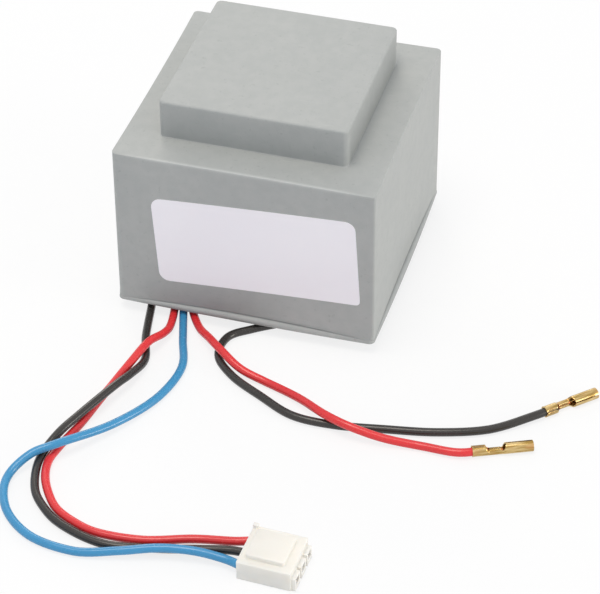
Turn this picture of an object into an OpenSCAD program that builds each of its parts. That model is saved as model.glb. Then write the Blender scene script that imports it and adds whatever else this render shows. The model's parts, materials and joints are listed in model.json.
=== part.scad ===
// Potted transformer: a stepped plastic cup, mouth down, filled with resin.
// Five flying leads come out of the resin: three end in a crimp connector, two in crimp sockets.
// Millimetres. The case is centred on the origin, front face to -Y, standing on z = 0.

/* [Case] */
// Width of the case across its front
case_w = 64; // [60:0.1:80]
// Depth of the case from front to back
case_d = 63.6; // [60:0.1:80]
// Height of the case from rim to shoulder
case_h = 44.1; // [42:0.1:60]
// Wall thickness
wall = 2; // [1.4:0.1:2.6]
// Radius of the case's upright corners
corner_r = 0.5; // [0.4:0.1:3]
// Radius of the shoulder's edge
shoulder_r = 0.4; // [0.3:0.1:1.2]
// How far the cooling resin has drawn each side in, at its middle
side_sink = 0.3; // [0.1:0.05:0.6]

/* [Plateau] */
// Width of the raised block on top
plateau_w = 45.8; // [44:0.1:52]
// Depth of the raised block
plateau_d = 45.7; // [44:0.1:52]
// Height of the raised block above the shoulder
plateau_h = 9.9; // [9:0.1:12]
// Radius of the block's upright corners
plateau_r = 1; // [0.5:0.1:3]
// Radius of the block's top edge
plateau_edge_r = 0.4; // [0.3:0.1:1.5]
// How far the block sits behind the middle of the case
plateau_back = 0.65; // [0:0.05:1]
// How far the block sits to the left of the middle
plateau_left = 0.2; // [0:0.1:1]

/* [Mouth] */
// Height of the rim round the mouth
rim_h = 1.6; // [1:0.1:3]
// How far the rim bows out at the middle of each side
rim_bow = 0.5; // [0.2:0.05:1]
// Height of the stand-off feet below the rim
foot_h = 2.4; // [2.3:0.1:5]
// Depth of the resin's face inside the rim
mouth_recess = 3.8; // [3.8:0.1:6]
// Width of each guide rib inside the walls
rib_w = 2; // [1.2:0.1:3]

/* [Core and coil] */
// Depth of resin between the mouth's face and the core
under_core = 17.8; // [17:0.1:22]
// Width of the middle leg
leg_w = 17; // [14:0.5:20]
// Cut that lets the middle leg into the bobbin
air_gap = 0.5; // [0.2:0.1:1]
// Diameter of the core's corner holes
core_hole_d = 3.4; // [2:0.1:4]
// Wall of the bobbin's tube
bobbin_wall = 1.2; // [0.8:0.1:1.6]
// Thickness of the bobbin's flanges
flange_t = 1.2; // [0.8:0.1:1.6]
// Thickness of the tape round each winding
tape_t = 0.4; // [0.2:0.1:0.8]
// Corner radius of the windings
winding_r = 4; // [2:0.25:5]
// Height of the bobbin's terminal rail
rail_h = 3.5; // [2:0.1:4.5]
// Diameter of the terminal pins
pin_d = 1; // [0.7:0.1:1.3]
// Diameter of the winding tails
tail_d = 0.6; // [0.3:0.1:0.8]

/* [Label] */
// Width of the label
label_w = 50; // [30:0.5:52]
// Height of the label
label_h = 24.2; // [15:0.1:30]
// Corner radius of the label
label_r = 2.5; // [1:0.1:5]
// Thickness of the label
label_t = 0.12; // [0.08:0.01:0.2]
// Turn of the label, as it was stuck on by hand
label_turn = 3.6; // [0:0.1:5]
// How far the label sits to the right of the middle
label_right = 3; // [0:0.1:3.5]
// Height of the label's middle above the rim
label_up = 22.3; // [18:0.1:26]

/* [Leads] */
// Outside diameter of each lead
lead_d = 2; // [1.6:0.1:2.1]
// Diameter of the bare strands
strand_d = 1; // [0.6:0.1:1.2]
// Bend radius where a lead leaves the resin
bend_r = 5; // [4:0.1:5]

/* [Connector] */
// Distance between the connector's ways
way_pitch = 3.96; // [3.9:0.01:4.2]
// Width of the connector
connector_w = 12; // [11.6:0.1:14]
// Length of the connector
connector_l = 12.4; // [11.8:0.1:16]
// Height of the connector's body
connector_h = 5.1; // [4.8:0.1:7]
// Height of the raised lock plate
lock_h = 1.2; // [0.6:0.1:2]
// Side of the square contact chambers
chamber = 2.5; // [2.3:0.1:2.6]
// Side of the square openings for the mating posts
post_hole = 1.8; // [1.2:0.1:2]

/* [Crimp sockets] */
// Inside diameter of the socket's tube
socket_bore = 2.1; // [1.8:0.05:2.3]
// Sheet thickness of sockets and contacts
sheet_t = 0.3; // [0.2:0.05:0.4]
// Length of the socket's tube
tube_l = 6.4; // [5:0.1:9]
// Length of the crimp round the insulation
grip_l = 3.2; // [2.5:0.1:4]
// Length of the crimp round the strands
crimp_l = 2.8; // [2:0.1:4]
// Width of the slit along the tube
slit_w = 0.3; // [0.1:0.05:0.5]

/* [Hidden] */
$fn = 48;
side_steps = 12;
eps = 0.01;

// Clearances
core_gap = 2.5;       // resin between core and wall
rib_gap = 0.1;        // guide rib to core
bore_gap = 0.1;       // bobbin tube to middle leg
coil_gap = 0.5;       // flange to roof of the plateau
side_gap = 2.5;       // flange to side of the plateau
front_gap = 2.45;     // end flange to front of the plateau
rib_inset = 2.5;      // front and back ribs, from the corner of the cavity
rib_set = 14.8;       // side ribs, from the corner of the cavity
exit_set = 6.3;       // leads, from the front of the cavity
lead_embed = 3.3;     // lead's cover, into the resin
strand_up = 1;        // bared strands below each pin
rail_lip = 2.5;       // rail in front of its pins
rail_end = 1.5;       // rail's ends to the cavity
pin_up = 2.4;         // pins above the rail
tail_up = 1.2;        // primary tails above the rail
tail_down = 0.9;      // secondary tails below the coil
tail_set = 3.4;       // first primary tail, from the edge of the flange
tail_pitch = 2.5;     // between primary tails
window_gap = 0.6;     // flange to core window
end_gap = 0.4;        // bobbin end to yoke
flange_lip = 0.6;     // flange proud of the tape
grip_gap = 0.02;      // insulation crimp to lead
chamber_gap = 0.1;    // contact box to chamber
foot_hide = 1;        // feet behind the wall's inner face

// Heights of the case
rim_z = foot_h;
shoulder_z = rim_z + case_h;
top_z = shoulder_z + plateau_h;
ledge_z = shoulder_z - wall;
roof_z = top_z - wall;
resin_z = rim_z + mouth_recess;

// Inside of the case
cavity_w = case_w - 2 * wall;
cavity_d = case_d - 2 * wall;
inner_r = max(corner_r - wall / 2, 0.4);

// Bobbin round the middle leg, its axis along Y, filling the plateau
flange_hw = plateau_w / 2 - wall - side_gap;
coil_l = plateau_d - 2 * (wall + front_gap);
chamber_l = (coil_l - 3 * flange_t) / 2;

// Core, lying flat against the inside of the shoulder
core_w = cavity_w - 2 * core_gap;
core_d = cavity_d - 2 * core_gap;
core_z = resin_z + under_core;
stack_h = ledge_z - core_z;
core_mid = core_z + stack_h / 2;
window_w = flange_hw + window_gap - leg_w / 2;
window_l = coil_l + 2 * end_gap;
core_hole_x = core_w / 2 - (core_w / 2 - leg_w / 2 - window_w) / 2;
core_hole_y = core_d / 2 - (core_d - window_l) / 4;

// Heights and half widths of the coil
flange_hh = stack_h / 2 + plateau_h - coil_gap;
tube_hw = leg_w / 2 + bore_gap + bobbin_wall;
tube_hh = stack_h / 2 + bore_gap + bobbin_wall;
wound_hw = flange_hw - flange_lip;
wound_hh = flange_hh - flange_lip;
coil_z = core_mid - flange_hh;

// Places of the guide ribs along each wall
rib_x = cavity_w / 2 - rib_inset;
rib_y = cavity_d / 2 - rib_set;
rib_out = core_gap - rib_gap;

// Leads inside the resin, and the pins that they are soldered to
lead_r = lead_d / 2;
exit_y = -cavity_d / 2 + exit_set;
lead_top = resin_z + lead_embed;
pin_z = lead_top + strand_up;
rail_front = -exit_y + rail_lip;
rail_hw = cavity_w / 2 - rail_end;
pin_top = coil_z + rail_h + pin_up;
tail_z = coil_z + rail_h + tail_up;
low_tail_z = coil_z - tail_down;
joint_r = 0.95;
joint_h = 1.6;

// Routes: where each lead leaves the resin, its first heading, and the points that it lies through
lie_z = lead_r;
exit_x = [-26.3, -20.7, -17.7, -15, 16.5];
exit_turn = [-75, -73, -78, -74, -154];
path_black_1 = [[-21, -43, 1], [-20, -46.6, 1], [-19.5, -50, 1], [-19.8, -53.8, 1.5], [-20.5, -57.5, 2.5],
    [-21.2, -59.9, 2.9], [-22.1, -62.4, 3.2], [-24.2, -68.3, 3.3], [-26.5, -74.5, 3.2], [-28.1, -78.4, 3],
    [-29.4, -82, 2.6], [-30.5, -85.6, 1.8], [-31, -89.4, 1.1], [-30.2, -94.3, 1], [-28.5, -98.9, 1],
    [-26.8, -101.5, 1], [-24.8, -103.6, 1], [-22.5, -105.7, 1], [-19.6, -107.5, 1], [-14.2, -109.7, 1],
    [-8.1, -111, 1], [-2, -110.4, 1], [3.9, -109.1, 1], [8.6, -108, 1], [12.9, -107, 1.2]];
path_red_1 = [[-17.4, -36.9, 1.2], [-17.5, -38.8, 1.6], [-17.8, -40.6, 2], [-18.6, -43.1, 2.8],
    [-19.6, -45.9, 3.3], [-20.7, -49.7, 3], [-21.8, -53.7, 2.3], [-22.9, -57.7, 1.6], [-24, -62, 1],
    [-25.1, -68.7, 1], [-26.2, -75.4, 1], [-27.1, -79.4, 1], [-27.8, -83.3, 1], [-28.3, -88.6, 1],
    [-28.1, -93.6, 1], [-27, -96.3, 1], [-25.5, -98.7, 1], [-23.8, -101.2, 1], [-21.7, -103.4, 1],
    [-19.4, -105, 1], [-16.8, -106.2, 1], [-14.1, -107.3, 1], [-11, -108, 1], [-5.7, -108.1, 1],
    [0, -107.5, 1], [5.6, -105.8, 1], [11.1, -104.1, 1.1]];
path_blue = [[-12.9, -40.5, 1], [-10, -50, 1], [-11.8, -61.3, 1], [-18.7, -74.6, 1.9], [-28.3, -86.6, 3.8],
    [-32.7, -90.2, 3], [-35.9, -96.9, 1.1], [-32.7, -106.2, 1], [-24.5, -113, 1], [-13.2, -114.9, 1],
    [-3.6, -112.9, 1.9], [5, -110.4, 2.7], [12.9, -109.1, 2.6]];
path_red_2 = [[-10.4, -35.4, 1.4], [-6.3, -39.9, 2.6], [-2.3, -44, 3.4], [4, -48.1, 2.2], [11, -49.8, 1],
    [20, -53.7, 1.6], [27.8, -59.3, 3.3], [34, -61.6, 3.3], [42, -62, 2], [51, -61.2, 1]];
path_black_2 = [[1.9, -32.1, 1], [-2.8, -36.4, 1], [-3, -43.5, 1], [2.1, -49.5, 1], [11.1, -54.9, 1],
    [20, -59.3, 1], [29.9, -59.8, 1], [41.7, -58, 1], [53.9, -55.6, 1], [65, -51.4, 1]];

// Where the connector and the sockets lie: rear end on the floor, and turn about Z
connector_at = [23.2, -106.2, 0];
connector_turn = -2.5;
socket_red_at = [62.9, -60.1, 0];
socket_red_turn = 24;
socket_red_roll = -15;
socket_black_at = [76, -42.4, 0];
socket_black_turn = 44;
socket_black_roll = 68;
lead_in = 3;
bunch_in = 3.4;
bunch_share = 0.74;
bunch_dip = 0.3;
way_in = 0.6;

// Connector and its contacts
way_floor = 0.95;
way_z = chamber / 2 + way_floor;
entry_r = 1.45;
entry_l = 3.6;
front_wall = 1.4;
lock_in = 1.7;
lock_rear = 1.5;
lock_front = 2;
tooth_out = 1;
tooth_h = 3.4;
groove_w = 0.8;
groove_h = 1.1;
groove_l = 5.5;
key_l = 1.2;
key_w = 1;
key_h = 0.9;
nub_l = 1.1;
nub_out = 0.3;
nub_back = 4.5;
contact_in = 0.8;
contact_end = connector_l - front_wall - chamber_gap;
box_l = 4;

// Crimp pieces
grip_r = lead_r + grip_gap;
grip_out = grip_r + sheet_t;
socket_r = socket_bore / 2 + sheet_t;
strand_r = strand_d / 2;
crimp_out = strand_r + sheet_t + 0.1;
crimp_gap = 0.6;
crimp_drop = socket_r - crimp_out;
neck_l = 1.2;
floor_w = 1.2;
strand_tip = 0.5;
tube_x = grip_l + crimp_gap + crimp_l + neck_l;
seam = 0.3;
crease = 0.16;
crease_turn = 42;

// Points of a lead from its pin, through the bend below the resin
function leave(i) = let (h = exit_turn[i], u = [cos(h), sin(h)], x = exit_x[i], top = lie_z + bend_r)
    concat([[x, exit_y, lead_top], [x, exit_y, top]],
        [for (a = [45, 90]) let (d = bend_r * (1 - cos(a)))
            [x + u.x * d, exit_y + u.y * d, top - bend_r * sin(a)]]);

// A point in the frame of a piece that lies at a place, turned about Z
function placed(at, turn, p) = [at.x + cos(turn) * p.x - sin(turn) * p.y,
    at.y + sin(turn) * p.x + cos(turn) * p.y, at.z + p.z];

// The last two points of a lead, along the axis of what it ends in
function arrive(at, turn, y, z, depth) =
    [placed(at, turn, [-lead_in, y, z]), placed(at, turn, [depth, y, z])];

function way_y(way) = way * way_pitch;

// The three leads come to the connector bunched and low, and spread to their ways
function into_connector(way) = let (y = way_y(way))
    [for (p = [[-bunch_in, y * bunch_share, way_z - bunch_dip], [way_in, y, way_z],
        [contact_in + grip_l - 0.7, y, way_z]]) placed(connector_at, connector_turn, p)];

route_black_1 = concat(leave(0), path_black_1, into_connector(0));
route_red_1 = concat(leave(1), path_red_1, into_connector(1));
route_blue = concat(leave(2), path_blue, into_connector(-1));
route_red_2 = concat(leave(3), path_red_2, arrive(socket_red_at, socket_red_turn, 0, socket_r, grip_l));
route_black_2 = concat(leave(4), path_black_2,
    arrive(socket_black_at, socket_black_turn, 0, socket_r, grip_l));

// Sweep of an eight-sided tube along a route
function unit(v) = v / norm(v);
function near_pair(p, i) = [p[max(i - 1, 0)], p[min(i + 1, len(p) - 1)]];
function along(p, i) = let (q = near_pair(p, i)) unit(q[1] - q[0]);
function level(p, i) = let (q = near_pair(p, i), d = [q[1].x - q[0].x, q[1].y - q[0].y, 0])
    norm(d) > eps ? unit(d) : level(p, i + 1);
function ring(p, i, r, sides) = let (t = along(p, i), h = level(p, i), b = [-h.y, h.x, 0], n = cross(t, b))
    [for (k = [0:sides - 1]) p[i] + r * (cos(k * 360 / sides) * b + sin(k * 360 / sides) * n)];

lead_sides = 8;

module tube_along(p, r) {
    m = lead_sides;
    points = [for (i = [0:len(p) - 1]) each ring(p, i, r, m)];
    walls = [for (i = [0:len(p) - 2], k = [0:m - 1])
        [i * m + k, i * m + (k + 1) % m, (i + 1) * m + (k + 1) % m, (i + 1) * m + k]];
    first = [for (k = [m - 1:-1:0]) k];
    last = [for (k = [0:m - 1]) (len(p) - 1) * m + k];
    polyhedron(points, concat([first], walls, [last]));
}

module at_place(at, turn) {
    translate(at) rotate([0, 0, turn]) children();
}

// Outlines
module round_rect(w, d, r) {
    square([w - 2 * r, d], center = true);
    square([w, d - 2 * r], center = true);
    for (x = [-1, 1], y = [-1, 1]) translate([x * (w / 2 - r), y * (d / 2 - r)]) circle(r);
}

// Slow curve between two corners, as even steps of a parabola
function slow_curve(chord, rise) = [for (i = [0:side_steps]) let (t = 2 * i / side_steps - 1)
    [t * chord / 2, rise * (1 - t * t)]];

// Strip between a side and its curve, on a chord that runs along X
module side_strip(chord, rise) {
    back = rise > 0 ? -1 : 1;
    polygon(concat(slow_curve(chord, rise), [[chord / 2, back], [-chord / 2, back]]));
}

module side_strips(w, d, r, rise) {
    for (turn = [0, 180]) {
        rotate(turn) translate([0, d / 2]) side_strip(w - 2 * r, rise);
        rotate(turn + 90) translate([0, w / 2]) side_strip(d - 2 * r, rise);
    }
}

// Outline with its sides drawn in between the corners
module sunk_rect(w, d, r, sink) {
    difference() {
        round_rect(w, d, r);
        side_strips(w, d, r, -sink);
    }
}

// Outline with its sides bowed out between the corners
module bowed_rect(w, d, r, bow) {
    round_rect(w, d, r);
    side_strips(w, d, r, bow);
}

// Upright section with a rounded top edge
module soft_top(w, h, r) {
    translate([-w / 2, 0]) square([w, h - r]);
    translate([-w / 2 + r, 0]) square([w - 2 * r, h]);
    for (s = [-1, 1]) translate([s * (w / 2 - r), h - r]) circle(r);
}

// Rounds the top edges of an upright block
module rounded_top(w, d, h, r) {
    intersection() {
        children();
        rotate([90, 0, 0]) linear_extrude(2 * d, center = true) soft_top(w, h, r);
        rotate([90, 0, 90]) linear_extrude(2 * w, center = true) soft_top(d, h, r);
    }
}

module bar(a, b, d) {
    v = b - a;
    translate(a) rotate([0, acos(v.z / norm(v)), atan2(v.y, v.x)]) cylinder(h = norm(v), d = d, $fn = 24);
}

// Case
module cavity() {
    translate([0, 0, -eps]) linear_extrude(ledge_z + eps) difference() {
        round_rect(cavity_w, cavity_d, inner_r);
        ribs();
    }
    translate([-plateau_left, plateau_back, ledge_z - eps]) linear_extrude(roof_z - ledge_z + eps)
        round_rect(plateau_w - 2 * wall, plateau_d - 2 * wall, plateau_r);
}

module ribs() {
    for (x = [-1, 1], y = [-1, 1]) {
        translate([x * rib_x, y * (cavity_d / 2 - rib_out / 2 + wall / 4)])
            square([rib_w, rib_out + wall / 2], center = true);
        translate([x * (cavity_w / 2 - rib_out / 2 + wall / 4), y * rib_y])
            square([rib_out + wall / 2, rib_w], center = true);
    }
}

module feet() {
    foot = rib_out - foot_hide;
    for (x = [-1, 1], y = [-1, 1]) {
        translate([x * rib_x, y * (cavity_d / 2 - foot_hide - foot / 2)])
            square([rib_w, foot], center = true);
        translate([x * (cavity_w / 2 - foot_hide - foot / 2), y * rib_y])
            square([foot, rib_w], center = true);
    }
}

module housing() {
    color("#b3b5b2") {
        difference() {
            union() {
                translate([0, 0, rim_z]) linear_extrude(rim_h) bowed_rect(case_w, case_d, corner_r, rim_bow);
                translate([0, 0, rim_z]) rounded_top(case_w, case_d, case_h, shoulder_r)
                    linear_extrude(case_h) sunk_rect(case_w, case_d, corner_r, side_sink);
                translate([-plateau_left, plateau_back, ledge_z])
                    rounded_top(plateau_w, plateau_d, plateau_h + wall, plateau_edge_r)
                    linear_extrude(plateau_h + wall) round_rect(plateau_w, plateau_d, plateau_r);
            }
            cavity();
        }
        linear_extrude(resin_z) feet();
    }
}

// Coil and core as the resin sees them
module wound_block(y, hw, hh, r) {
    translate([0, y + chamber_l / 2, core_mid]) rotate([90, 0, 0])
        linear_extrude(chamber_l) round_rect(2 * hw, 2 * hh, r);
}

front_y = -coil_l / 2 + flange_t + chamber_l / 2;
rear_y = coil_l / 2 - flange_t - chamber_l / 2;

module flanges() {
    for (y = [-coil_l / 2, -flange_t / 2, coil_l / 2 - flange_t])
        translate([-flange_hw, y, coil_z]) cube([2 * flange_hw, flange_t, 2 * flange_hh]);
}

module rail() {
    translate([-rail_hw, -rail_front, coil_z]) cube([2 * rail_hw, rail_front - coil_l / 2 + eps, rail_h]);
}

module pins() {
    for (x = exit_x) translate([x, exit_y, pin_z]) cylinder(h = pin_top - pin_z, d = pin_d);
}

// Core seen from above: windows beside the middle leg, a hole in each corner
module core_outline() {
    difference() {
        square([core_w, core_d], center = true);
        for (s = [-1, 1]) translate([s * (leg_w + window_w) / 2, 0])
            square([window_w, window_l], center = true);
        for (x = [-1, 1], y = [-1, 1]) translate([x * core_hole_x, y * core_hole_y])
            circle(d = core_hole_d);
    }
}

module core_laminations() {
    color("#6f7378") translate([0, 0, core_z]) linear_extrude(stack_h) difference() {
        core_outline();
        translate([0, window_l / 2 - air_gap / 2]) square([leg_w + eps, air_gap], center = true);
    }
}

module bobbin() {
    color("#e4e0d2") difference() {
        union() {
            flanges();
            rail();
            translate([-tube_hw, -coil_l / 2, core_mid - tube_hh]) cube([2 * tube_hw, coil_l, 2 * tube_hh]);
        }
        translate([-leg_w / 2 - bore_gap, -coil_l, core_mid - stack_h / 2 - bore_gap])
            cube([leg_w + 2 * bore_gap, 2 * coil_l, stack_h + 2 * bore_gap]);
        pins();
        primary_wires();
    }
}

module winding(y) {
    color("#b5652b") difference() {
        wound_block(y, wound_hw - tape_t, wound_hh - tape_t, winding_r);
        translate([-tube_hw, y - chamber_l, core_mid - tube_hh])
            cube([2 * tube_hw, 2 * chamber_l, 2 * tube_hh]);
    }
}

module tape(y) {
    color("#e3c64a") difference() {
        wound_block(y, wound_hw, wound_hh, winding_r + tape_t);
        wound_block(y, wound_hw - tape_t, wound_hh - tape_t, winding_r);
        secondary_wires();
    }
}

module primary_winding() winding(front_y);
module secondary_winding() winding(rear_y);
module primary_tape() tape(front_y);
module secondary_tape() tape(rear_y);

module terminal_pins() {
    color("#c9ccd0") pins();
}

module joints() {
    for (x = exit_x) translate([x, exit_y, pin_z - strand_up / 2]) rotate_extrude()
        polygon([[0, 0], [joint_r, strand_up / 2], [joint_r * 0.8, joint_h * 0.7], [0, joint_h]]);
}

module stubs() {
    for (x = exit_x) translate([x, exit_y, lead_top]) cylinder(h = strand_up, d = strand_d);
}

module solder_joints() {
    color("#b9bdc2") difference() {
        joints();
        pins();
        stubs();
    }
}

module inner_strands() {
    color("#c77b4a") stubs();
}

// Winding tails: the primary's run over the rail, the secondary's under the coil
module primary_wires() {
    start = -coil_l / 2 + flange_t + tail_d;
    for (i = [0:2]) {
        x = -flange_hw + tail_set + tail_pitch * i;
        bar([x, start, tail_z], [exit_x[i], exit_y, tail_z], tail_d);
    }
}

module secondary_wires() {
    for (i = [3, 4]) {
        x = (i == 3 ? -1 : 1) * (wound_hw - winding_r) * 0.8;
        knee = [x, rear_y, low_tail_z];
        bar(knee, [x, rear_y, core_mid - wound_hh + tape_t], tail_d);
        bar(knee, [exit_x[i], exit_y, low_tail_z], tail_d);
        translate(knee) sphere(d = tail_d, $fn = 24);
    }
}

module primary_tails() {
    color("#c77b4a") difference() {
        primary_wires();
        pins();
        wound_block(front_y, wound_hw, wound_hh, winding_r);
    }
}

module secondary_tails() {
    color("#c77b4a") difference() {
        secondary_wires();
        pins();
    }
}

module potting_resin() {
    color("#3a3b3c") difference() {
        intersection() {
            cavity();
            translate([-case_w, -case_d, resin_z]) cube([2 * case_w, 2 * case_d, top_z]);
        }
        translate([0, 0, core_z]) linear_extrude(ledge_z - core_z) core_outline();
        flanges();
        wound_block(front_y, wound_hw, wound_hh, winding_r + tape_t);
        wound_block(rear_y, wound_hw, wound_hh, winding_r + tape_t);
        rail();
        pins();
        joints();
        stubs();
        primary_wires();
        secondary_wires();
        for (i = [0:4]) translate([exit_x[i], exit_y, 0]) rotate([0, 0, exit_turn[i]])
            cylinder(h = lead_top, r = lead_r, $fn = lead_sides);
    }
}

// Label, stuck on the sunk front wall
module label() {
    inner = slow_curve(case_w - 2 * corner_r, side_sink);
    outer = [for (i = [side_steps:-1:0]) inner[i] - [0, label_t]];
    color("#e6e4e6") intersection() {
        translate([label_right, 0, rim_z + label_up]) rotate([90, -label_turn, 0])
            linear_extrude(case_d) round_rect(label_w, label_h, label_r);
        translate([0, -case_d / 2, rim_z]) linear_extrude(case_h) polygon(concat(inner, outer));
    }
}

// Leads
module lead_black_1() color("#2c2b2a") tube_along(route_black_1, lead_r);
module lead_red_1() color("#d2232f") tube_along(route_red_1, lead_r);
module lead_blue() color("#2f86c6") tube_along(route_blue, lead_r);
module lead_red_2() color("#d2232f") tube_along(route_red_2, lead_r);
module lead_black_2() color("#2c2b2a") tube_along(route_black_2, lead_r);

// Connector
module connector_housing() {
    color("#f1efe9") at_place(connector_at, connector_turn) difference() {
        union() {
            translate([0, -connector_w / 2, 0]) cube([connector_l, connector_w, connector_h]);
            translate([lock_rear, -connector_w / 2 + lock_in, 0])
                cube([connector_l - lock_rear - lock_front, connector_w - 2 * lock_in, connector_h + lock_h]);
            for (way = [-1:1]) translate([0, way_y(way) - (way_pitch - groove_w) / 2, 0])
                cube([connector_l + tooth_out, way_pitch - groove_w, tooth_h]);
            translate([0, connector_w / 2 - key_w, 0]) cube([key_l, key_w, connector_h + key_h]);
            translate([connector_l - nub_back - nub_l, 0, connector_h - 1.2])
                cube([nub_l, connector_w / 2 + nub_out, 0.9]);
        }
        for (side = [-0.5, 0.5]) translate([connector_l - groove_l, side * way_pitch - groove_w / 2, -eps])
            cube([groove_l + tooth_out + eps, groove_w, groove_h]);
        for (way = [-1:1]) translate([0, way_y(way), way_z]) {
            translate([-eps, 0, 0]) rotate([0, 90, 0]) cylinder(h = entry_l, r = entry_r);
            translate([0, -chamber / 2, -chamber / 2]) cube([connector_l - front_wall, chamber, chamber]);
            translate([0, -post_hole / 2, -post_hole / 2]) cube([2 * connector_l, post_hole, post_hole]);
        }
    }
}

// Crimped tube round a wire, with its two wings rolled in along the top and a crease beside each
module crimp(x, l, r_in, r_out) {
    translate([x, 0, 0]) rotate([0, 90, 0]) difference() {
        cylinder(h = l, r = r_out);
        translate([0, 0, -eps]) cylinder(h = l + 2 * eps, r = r_in);
        for (c = [[0, seam], [crease_turn, crease], [-crease_turn, crease]]) rotate([0, 0, c[0]])
            translate([-r_out - c[1] / 4, 0, l / 2]) rotate([0, 0, 45])
                cube([c[1], c[1], 2 * l], center = true);
    }
}

// Floor that joins a crimp to what follows it, hollowed where the lead lies
module strip(from, to, z, h) {
    difference() {
        translate([from - 0.3, -floor_w / 2, z]) cube([to - from + 0.6, floor_w, h]);
        translate([from - 1, 0, 0]) rotate([0, 90, 0]) cylinder(h = 1.2, r = grip_r);
    }
}

module contact(way) {
    grip = grip_l - 0.8;
    outer = chamber - 2 * chamber_gap;
    box_x = contact_end - box_l;
    crimp_x = contact_in + grip + crimp_gap;
    at_place(connector_at, connector_turn) translate([0, way_y(way), way_z]) {
        crimp(contact_in, grip, grip_r, grip_out);
        crimp(crimp_x, crimp_l - 0.8, strand_r, crimp_out);
        strip(contact_in + grip, box_x, -outer / 2, outer / 2 - strand_r - 0.2);
        translate([box_x, -outer / 2, -outer / 2]) difference() {
            cube([box_l, outer, outer]);
            translate([-eps, sheet_t, sheet_t])
                cube([box_l + 2 * eps, outer - 2 * sheet_t, outer - 2 * sheet_t]);
        }
    }
}

module contact_red() color("#c9ccd0") contact(1);
module contact_black() color("#c9ccd0") contact(0);
module contact_blue() color("#c9ccd0") contact(-1);

module contact_strands() {
    start = contact_in + grip_l - 0.7;
    color("#c77b4a") at_place(connector_at, connector_turn) for (way = [-1:1])
        translate([start, way_y(way), way_z]) rotate([0, 90, 0])
            cylinder(h = crimp_gap + crimp_l - 0.8 + strand_tip, d = strand_d);
}

// Crimp socket: grip round the insulation, crimp round the strands, neck and slit tube.
// The crimp and the tube share one floor, so the strands drop from the lead's axis to the crimp's.
module socket_place(at, turn, roll) {
    at_place(at, turn) translate([0, 0, socket_r]) rotate([roll, 0, 0]) children();
}

module socket(at, turn, roll) {
    low = -socket_r + sheet_t / 2;
    web = strand_r + 0.1;
    color("#d9b35c") socket_place(at, turn, roll) difference() {
        socket_metal(low, web);
        translate([tube_x, 0, 0]) rotate([0, 90, 0]) translate([0, 0, -eps])
            cylinder(h = tube_l + 2 * eps, d = socket_bore);
        dropped_strands();
    }
}

module socket_metal(low, web) {
    union() {
        crimp(0, grip_l, grip_r, socket_r);
        translate([0, 0, -crimp_drop]) crimp(grip_l + crimp_gap, crimp_l, strand_r, crimp_out);
        strip(grip_l, tube_x, low, -crimp_drop - strand_r - grip_gap - low);
        for (s = [-1, 1]) translate([0, s * (web + sheet_t / 2) + sheet_t / 2, 0]) rotate([90, 0, 0])
            linear_extrude(sheet_t) polygon([[tube_x - neck_l - 0.2, low + sheet_t / 2],
                [tube_x + 0.2, low + sheet_t / 2], [tube_x + 0.2, socket_r * 0.66],
                [tube_x - neck_l * 0.2, strand_r * 0.5], [tube_x - neck_l - 0.2, -crimp_drop]]);
        translate([tube_x, 0, 0]) rotate([0, 90, 0]) difference() {
            cylinder(h = tube_l, r = socket_r);
            translate([-socket_r, 0, tube_l / 2])
                cube([2 * sheet_t + 0.4, slit_w, 2 * tube_l], center = true);
        }
    }
}

module socket_red() socket(socket_red_at, socket_red_turn, socket_red_roll);
module socket_black() socket(socket_black_at, socket_black_turn, socket_black_roll);

module dropped_strands() {
    knee = [grip_l + crimp_gap, 0, -crimp_drop];
    intersection() {
        union() {
            bar([grip_l - 0.2, 0, 0.2 * crimp_drop / crimp_gap], knee, strand_d);
            translate(knee) sphere(d = strand_d);
            translate(knee) rotate([0, 90, 0]) cylinder(h = crimp_l + strand_tip, d = strand_d);
        }
        translate([grip_l, -lead_d, -lead_d]) cube([2 * tube_x, 2 * lead_d, 2 * lead_d]);
    }
}

module socket_strands() {
    color("#c77b4a") {
        socket_place(socket_red_at, socket_red_turn, socket_red_roll) dropped_strands();
        socket_place(socket_black_at, socket_black_turn, socket_black_roll) dropped_strands();
    }
}

housing();
potting_resin();
core_laminations();
bobbin();
primary_winding();
secondary_winding();
primary_tape();
secondary_tape();
terminal_pins();
solder_joints();
primary_tails();
secondary_tails();
label();
lead_black_1();
lead_red_1();
lead_blue();
lead_red_2();
lead_black_2();
inner_strands();
connector_housing();
contact_red();
contact_black();
contact_blue();
contact_strands();
socket_red();
socket_black();
socket_strands();
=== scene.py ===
# %% [markdown]
# # A potted transformer and its leads
# The real thing is a coil and an iron core, dropped into a moulded plastic cup and drowned in resin.
# The cup then stands on its mouth, with its stepped bottom up. Five thin leads come out of the resin:
# three end in a nylon connector, two in rolled brass sockets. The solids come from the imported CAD
# model, and this script dresses them: softer edges, real leads, and finishes made of shader nodes.

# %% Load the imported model
import json
import math

import bmesh
import bpy
from mathutils import Matrix, Vector


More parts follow.
